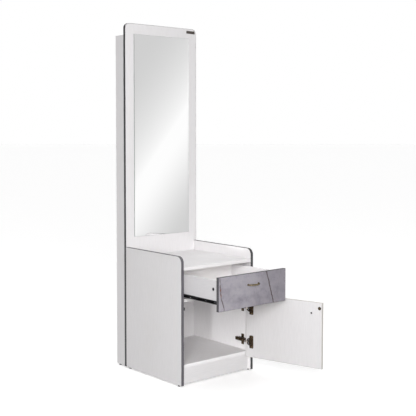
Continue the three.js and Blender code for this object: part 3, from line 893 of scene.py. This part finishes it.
def hinge_cup(place):
    """A pressed flange with two screws, and the pot that is let into the door."""
    node = f"{place}_hinge_cup"
    low, high = door_box(node)
    height = (low.z + high.z) / 2
    centre = Vector((high.x - CUP_RIM * MM, low.y + CUP_DEPTH * MM, height))
    top = (high.y - centre.y) / MM
    edge = outline(low.x, low.x + CUP_FLANGE * MM, low.z, high.z, (5 * MM,) * 4)
    flange = plate(edge, rim(high.y - 1.2 * MM, high.y, 0.4 * MM), FACING_FRONT)
    mouth = 16.6
    flange = carved(flange, rod(mouth, -CUT_OVERRUN, CUT_OVERRUN, centre, Y))
    inside = [(0, -10.5), (15.0, -10.5), (16.0, -9.6), (16.2, -0.5), (mouth, top)]
    lip = [(18.1, top), (CUP_RIM, top - 0.5), (CUP_RIM, top - 1.2), (CUP_RADIUS, top - 1.2)]
    outside = [(CUP_RADIUS, -11), (mouth, -CUP_DEPTH), (0, -CUP_DEPTH)]
    cup = turned(inside + lip + outside, centre, Y, 64)
    show(f"{place}_cup", joined(flange, cup), "door", BRONZE, [node], OPENED)
    x = low.x + 8 * MM
    seats = [Vector((x, high.y, height + s * CUP_SCREWS * MM)) for s in (-1, 1)]
    screws = screw_heads(3.9, 1.9, seats, Y)
    show(f"{place}_cup_screws", screws, "door", BRONZE_SCREW, turn=OPENED)
    pin = rod(1.4, -CUP_PIN_HALF, CUP_PIN_HALF, Vector((*CUP_PIN, height)), Z, PIN_SIDES)
    show(f"{place}_cup_pin", pin, "door", ZINC, turn=OPENED)


def cross_outline(centre_y, centre_z, long, broad, tall, narrow, corner):
    """Two crossed bars, given by half their sizes: one long and broad, the other tall and narrow."""
    quarter = [(long, broad), (narrow + corner, broad), (narrow, broad + corner), (narrow, tall)]
    points = []
    for turn, (flip_y, flip_z) in enumerate(((1, 1), (-1, 1), (-1, -1), (1, -1))):
        run = quarter if turn % 2 == 0 else list(reversed(quarter))
        points += [Vector((centre_y + flip_y * y, centre_z + flip_z * z)) for y, z in run]
    return points


def hinge_plate(place):
    """The cross-shaped plate on the cabinet side, with its raised rib and two screws."""
    node = f"{place}_hinge_plate"
    low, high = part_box(node)
    middle = (low + high) / 2
    thick = 2.5 * MM
    cross = cross_outline(middle.y, middle.z, 26 * MM, 9 * MM, 26 * MM, 8.5 * MM, thick)
    base = plate(cross, rim(high.x - thick, high.x, 0.6 * MM), FACING_SIDE)
    half_rib = Vector(((high.x - low.x) / 2, 22 * MM, 6 * MM))
    rib = block(middle - half_rib, middle + half_rib, 0.8 * MM)
    show(f"{place}_plate", joined(base, rib), "carcass", BRONZE, [node])
    seats = [Vector((high.x - thick, middle.y, middle.z + s * 18.5 * MM)) for s in (-1, 1)]
    screws = screw_heads(3.8, 1.9, seats, -X)
    show(f"{place}_plate_screws", screws, "carcass", BRONZE_SCREW)


def hinge_arm(place):
    """The arm that sits on the plate: a folded channel with a forked nose, two screws and a slot."""
    node = f"{place}_hinge_arm"
    low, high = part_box(node)
    pin_low, pin_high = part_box(f"{place}_hinge_pin")
    pin = (pin_low + pin_high) / 2
    middle = (low.z + high.z) / 2
    corners = (2 * MM, 3 * MM, 3 * MM, 2 * MM)
    edge = outline(low.y, high.y, low.z, high.z, corners)
    section = [
        (-1.0 * MM, low.x),
        (-0.4 * MM, low.x + 0.2 * MM),
        (-0.1 * MM, low.x + 0.6 * MM),
        (0, low.x + MM),
        (0, high.x - 0.3 * MM),
        (-0.3 * MM, high.x),
    ]
    body = plate(edge, section, FACING_SIDE)
    gap = 5 * MM
    past = high.x + MM
    fork = block((low.x - MM, low.y - MM, middle - gap), (past, pin.y + 8 * MM, middle + gap), 0.3 * MM)
    slot_y = high.y - 24 * MM
    reach = Vector((0, 9 * MM, 1.6 * MM))
    outside = Vector((low.x - MM, slot_y, middle))
    inside = Vector((low.x + 1.2 * MM, slot_y, middle))
    slot = block(outside - reach, inside + reach)
    body = carved(carved(body, fork), slot)
    show(f"{place}_arm", body, "carcass", BRONZE, [node])
    seats = [Vector((low.x, y, middle)) for y in (pin.y + 18 * MM, slot_y + 2 * MM)]
    screws = screw_heads(3.7, 1.6, seats, -X)
    show(f"{place}_arm_screws", screws, "carcass", BRONZE_SCREW)

    half = (pin_high.z - pin_low.z) / 2 / MM
    rivet = rod(1.5, -half, half, pin, Z, PIN_SIDES)
    show(f"{place}_pin", rivet, "carcass", ZINC, [f"{place}_hinge_pin"])


def hinge_link(place):
    """The gooseneck, a bent flat bar with a knuckle on the arm's pin. Its curve follows the CAD link."""
    node = f"{place}_hinge_link"
    low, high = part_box(node)
    pin_low, pin_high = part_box(f"{place}_hinge_pin")
    pin = (pin_low + pin_high) / 2
    half = (high.z - low.z) / 2
    route = smooth_route([Vector((pin.x, pin.y)) + Vector(b) * MM for b in LINK_BENDS], 10)
    thick = 1.25 * MM
    soft = 0.4 * MM
    rings = []
    for point, out in zip(route, mitres(route, closed=False)):
        section = [
            (-thick, -half + soft),
            (-thick + soft, -half),
            (thick - soft, -half),
            (thick, -half + soft),
            (thick, half - soft),
            (thick - soft, half),
            (-thick + soft, half),
            (-thick, half - soft),
        ]
        rings.append([Vector((*(point + out * o), pin.z + up)) for o, up in section])
    bar = rings_to_mesh(rings)
    foot = Vector((pin.x, pin.y, pin.z - half))
    knuckle = turned([(0, 0), (3.1, 0), (3.4, 0.3), (3.4, 8.9), (3.1, 9.2), (0, 9.2)], foot, Z, 32)
    show(f"{place}_link", joined(bar, knuckle), "hinge_links", NICKEL, [node], sharp=40)


def smooth_route(points, steps):
    """A smooth curve through the points, with that many steps between two of them."""
    padded = [2 * points[0] - points[1], *points, 2 * points[-1] - points[-2]]
    found = []
    for a, b, c, d in zip(padded, padded[1:], padded[2:], padded[3:]):
        square = 2 * a - 5 * b + 4 * c - d
        cube = 3 * b - a - 3 * c + d
        for i in range(steps):
            t = i / steps
            found.append(0.5 * (2 * b + (c - a) * t + square * t**2 + cube * t**3))
    return [*found, points[-1]]


# ---- Camera, floor and light


def flat_object(name, corners, material):
    """One flat face of the studio."""
    mesh = bpy.data.meshes.new(name)
    mesh.from_pydata(corners, [], [range(len(corners))])
    mesh.materials.append(material)
    made = bpy.data.objects.new(name, mesh)
    bpy.context.scene.collection.objects.link(made)
    return made


def camera():
    """The camera stands at the front left and looks slightly down."""
    lens = bpy.data.cameras.new("camera")
    lens.lens = 73.57
    lens.shift_y = -0.08
    eye = bpy.data.objects.new("camera", lens)
    eye.location = (-2.6286, -3.5376, 1.1722)
    downwards = math.radians(2.854)
    to_the_right = math.radians(40.39)
    eye.rotation_euler = (math.pi / 2 - downwards, 0, -to_the_right)
    bpy.context.scene.collection.objects.link(eye)
    bpy.context.scene.camera = eye
    return eye


def softbox(name, place, target, size, power):
    """A square light that faces its target. Sizes are in metres and the power is in watts."""
    light = bpy.data.lights.new(name, "AREA")
    light.size = size
    light.energy = power
    lamp = bpy.data.objects.new(name, light)
    lamp.location = place
    lamp.rotation_euler = (Vector(target) - Vector(place)).to_track_quat("-Z", "Y").to_euler()
    lamp.visible_camera = False
    bpy.context.scene.collection.objects.link(lamp)
    return lamp


def lights_only(lamp, names):
    """Keeps the lamp's light to the pieces that are named."""
    lit = bpy.data.collections.new(f"{lamp.name}_lights")
    for name in names:
        lit.objects.link(bpy.data.objects[name])
    lamp.light_linking.receiver_collection = lit


def glowing(f, colour, strength):
    """Makes the finish a plain light of its own."""
    light = f.node("ShaderNodeEmission", {"Color": colour, "Strength": strength})
    f.tree.links.new(light.outputs[0], f.tree.nodes["Material Output"].inputs["Surface"])
    return f.material


def hide_from_light(thing, *seen_by):
    """The thing lights nothing and shades nothing; only the kinds of ray that are named see it."""
    for kind in ("camera", "diffuse", "glossy", "transmission", "shadow"):
        setattr(thing, f"visible_{kind}", kind in seen_by)


def floor_and_backdrop():
    """A white floor, and a white dome that only the camera sees."""
    f = Finish("studio_floor", Specular_IOR_Level=0.1, Emission_Color=(1, 1, 1, 1), Emission_Strength=0.2)
    mottle = f.noise(f.where, 3, detail=3)
    f.paint(f.blend(mottle, linear("f6f6f6"), linear("fafafa")), 0.9)
    half = 80
    corners = [(-half, -half, 0), (half, -half, 0), (half, half, 0), (-half, half, 0)]
    ground = flat_object("floor", corners, f.material)
    hide_from_light(ground, "camera", "glossy")

    bm = bmesh.new()
    bmesh.ops.create_uvsphere(bm, u_segments=48, v_segments=24, radius=half)
    mesh = bpy.data.meshes.new("backdrop")
    bm.to_mesh(mesh)
    bm.free()
    mesh.materials.append(glowing(Finish("backdrop"), (1, 1, 1, 1), 1.0))
    dome = bpy.data.objects.new("backdrop", mesh)
    bpy.context.scene.collection.objects.link(dome)
    hide_from_light(dome, "camera")


# Each part of the surroundings: the direction it lies in and how much light it adds
SURROUNDINGS = [
    ((0, 0, 1), 0.98),
    ((0, 0, -1), 0.24),
    ((0.65, 0.76, 0), 0.72),
]
DIMMEST = 0.15


def studio():
    """Soft surroundings, a large light at the front left, and fills for the cupboard and the drawer."""
    bpy.context.scene.view_settings.view_transform = "Standard"
    world = bpy.data.worlds.new("studio")
    world.use_nodes = True
    bpy.context.scene.world = world
    t = Tree(world.node_tree)
    direction = t.node("ShaderNodeTexCoord").outputs["Generated"]
    light = DIMMEST
    for where, amount in SURROUNDINGS:
        facing = t.math("MAXIMUM", t.dot(direction, where), 0.0)
        light = t.math("ADD", t.math("MULTIPLY", t.math("POWER", facing, 1.5), amount), light)
    background = t.tree.nodes["Background"]
    t.tree.links.new(light, background.inputs["Strength"])
    background.inputs["Color"].default_value = (1.0, 1.0, 1.0, 1)
    softbox("key", (-2.5, -3.6, 1.7), (0, -0.3, 0.7), 1.6, 130)
    softbox("low_fill", (-2.6, -3.6, 0.7), (0, -0.1, 0.4), 1.2, 38)
    inside = softbox("cupboard_fill", (-3.2, -2.6, 0.05), (0.1, -0.4, 0.25), 0.2, 52)
    lights_only(inside, ["right_side"])
    under = softbox("cupboard_floor_fill", (-2.8, -2.8, 1.0), (0.1, -0.4, 0.1), 0.8, 50)
    lights_only(under, ["bottom_board_panel"])
    above = softbox("drawer_fill", (-2.2, -2.6, 2.2), (0, -0.6, 0.45), 1.0, 62)
    lights_only(above, ["drawer_right_side_wall", "drawer_rear", "drawer_base"])


def reflection_card(eye):
    """A wide card that only reflections see: grey, with one slanted white band where the glass shows it."""
    low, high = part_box("mirror_glass")
    away = 2.6
    image = Vector((eye.location.x, 2 * low.y - eye.location.y, eye.location.z))
    reach = (image.y + away) / (image.y - low.y)
    first = image + (low - image) * reach
    last = image + (Vector((high.x, low.y, high.z)) - image) * reach
    size = last - first

    f = Finish("reflection_card")
    place = f.node("ShaderNodeSeparateXYZ", {0: f.where}).outputs
    across = f.math("DIVIDE", f.math("SUBTRACT", place[0], first.x), size.x)
    height = f.math("DIVIDE", f.math("SUBTRACT", place[2], first.z), size.z)
    slant = f.math("SUBTRACT", height, f.math("MULTIPLY", across, 0.4))
    upper = f.math("POWER", f.spread(slant, (0.26, 0.9)), 0.42)
    lower = f.math("POWER", f.spread(slant, (0.17, -0.38)), 0.85)
    glow = f.blend(f.math("MAXIMUM", upper, lower), (1.12, 1.12, 1.12, 1), (0.714, 0.714, 0.714, 1))
    glow = f.blend(f.spread(place[2], (0.9 * first.z, 0.0)), glow, (1, 1, 1, 1))  # melts into the floor
    side = 9
    bottom = 0.02
    top = 6
    corners = [(-side, -away, bottom), (side, -away, bottom), (side, -away, top), (-side, -away, top)]
    card = flat_object("reflection_card", corners, glowing(f, glow, 1.0))
    hide_from_light(card, "glossy")


# ---- The station

LAMINATE_UP = white_laminate("white_laminate_upright", "z")
# The white laminate painted darker for the drawer's sides: painted shade, the same board as the others
LAMINATE_DEEP_SHADED = white_laminate("white_laminate_deep_painted_shade", "y", "d3d1d3", "cdcbcd")
LAMINATE_ACROSS = white_laminate("white_laminate_across", "x")
# The same dark edge band as BLACK_BAND, painted lighter for the left side: painted light
SIDE_BAND_PAINTED_LIT = edge_band("charcoal_edge_band", "5e5c61", "504e54", "8f8c92", 0.35)
BLACK_BAND = edge_band("dark_edge_band", "343336", "29282b", "6b696e", 0.25)
FRONT_BAND = edge_band("drawer_edge_band", "4b494e", "3f3d42", "807e84", 0.3)
PALE_BAND = edge_band("white_edge_band", "cdcac5", "c4c1bc", "b4aea6", 0.4)
STONE = stone_laminate()
FIBRE = hardboard("hardboard_fibre", "8a6f55", "6e563f")
FOIL = hardboard("hardboard_foil", "e6e3df", "dedbd6")
SILVER = silvering()
GLASS_EDGE = glass_edge()
PLATE_BLACK = metal("name_plate_black", "59524d", "433d39", "8b8179", 0.35, 0.45, metallic=0.5)
BLACK_STEEL = metal("black_steel", "08080a", "040405", "1c1c20", 0.3, 0.3, metallic=0.0, specular=0.06)
CAM_ZINC = metal("cam_zinc", "47454a", "2e2c30", "8a868c", 0.4, 0.4)
BRONZE = metal("bronzed_steel", "665646", "42372b", "a99778", 0.36, 0.5)
BRONZE_SCREW = metal("bronzed_screw", "8c7a62", "5c4c3a", "d0bd9c", 0.3, 0.55)
DARK_BRONZE = metal("dark_bronze", "3f3224", "281e14", "6b5640", 0.4, 0.3)
BRASS = metal("antique_brass", "8d8068", "4a4030", "e0d2b6", 0.2, 0.5)
ZINC = metal("zinc_screw", "c9c9cc", "9c9ca0", "e8e8ea", 0.24, 0.4)
NICKEL = metal("nickelled_link", "cfc8c2", "a39a92", "efe9e2", 0.22, 0.4)
PLASTIC = moulded("black_plastic", "222223", "161617")

mirror_board()
mirror_glass()
name_plate()
plain_boards()
side_panels()
glides()
drawer_front()
drawer_box()
drawer_handle()
inner_screws()
slides()
door_board()
door_knob()
door_catch()
for position in ("upper", "lower"):
    hinge_cup(position)
    hinge_plate(position)
    hinge_arm(position)
    hinge_link(position)

floor_and_backdrop()
studio()
reflection_card(camera())
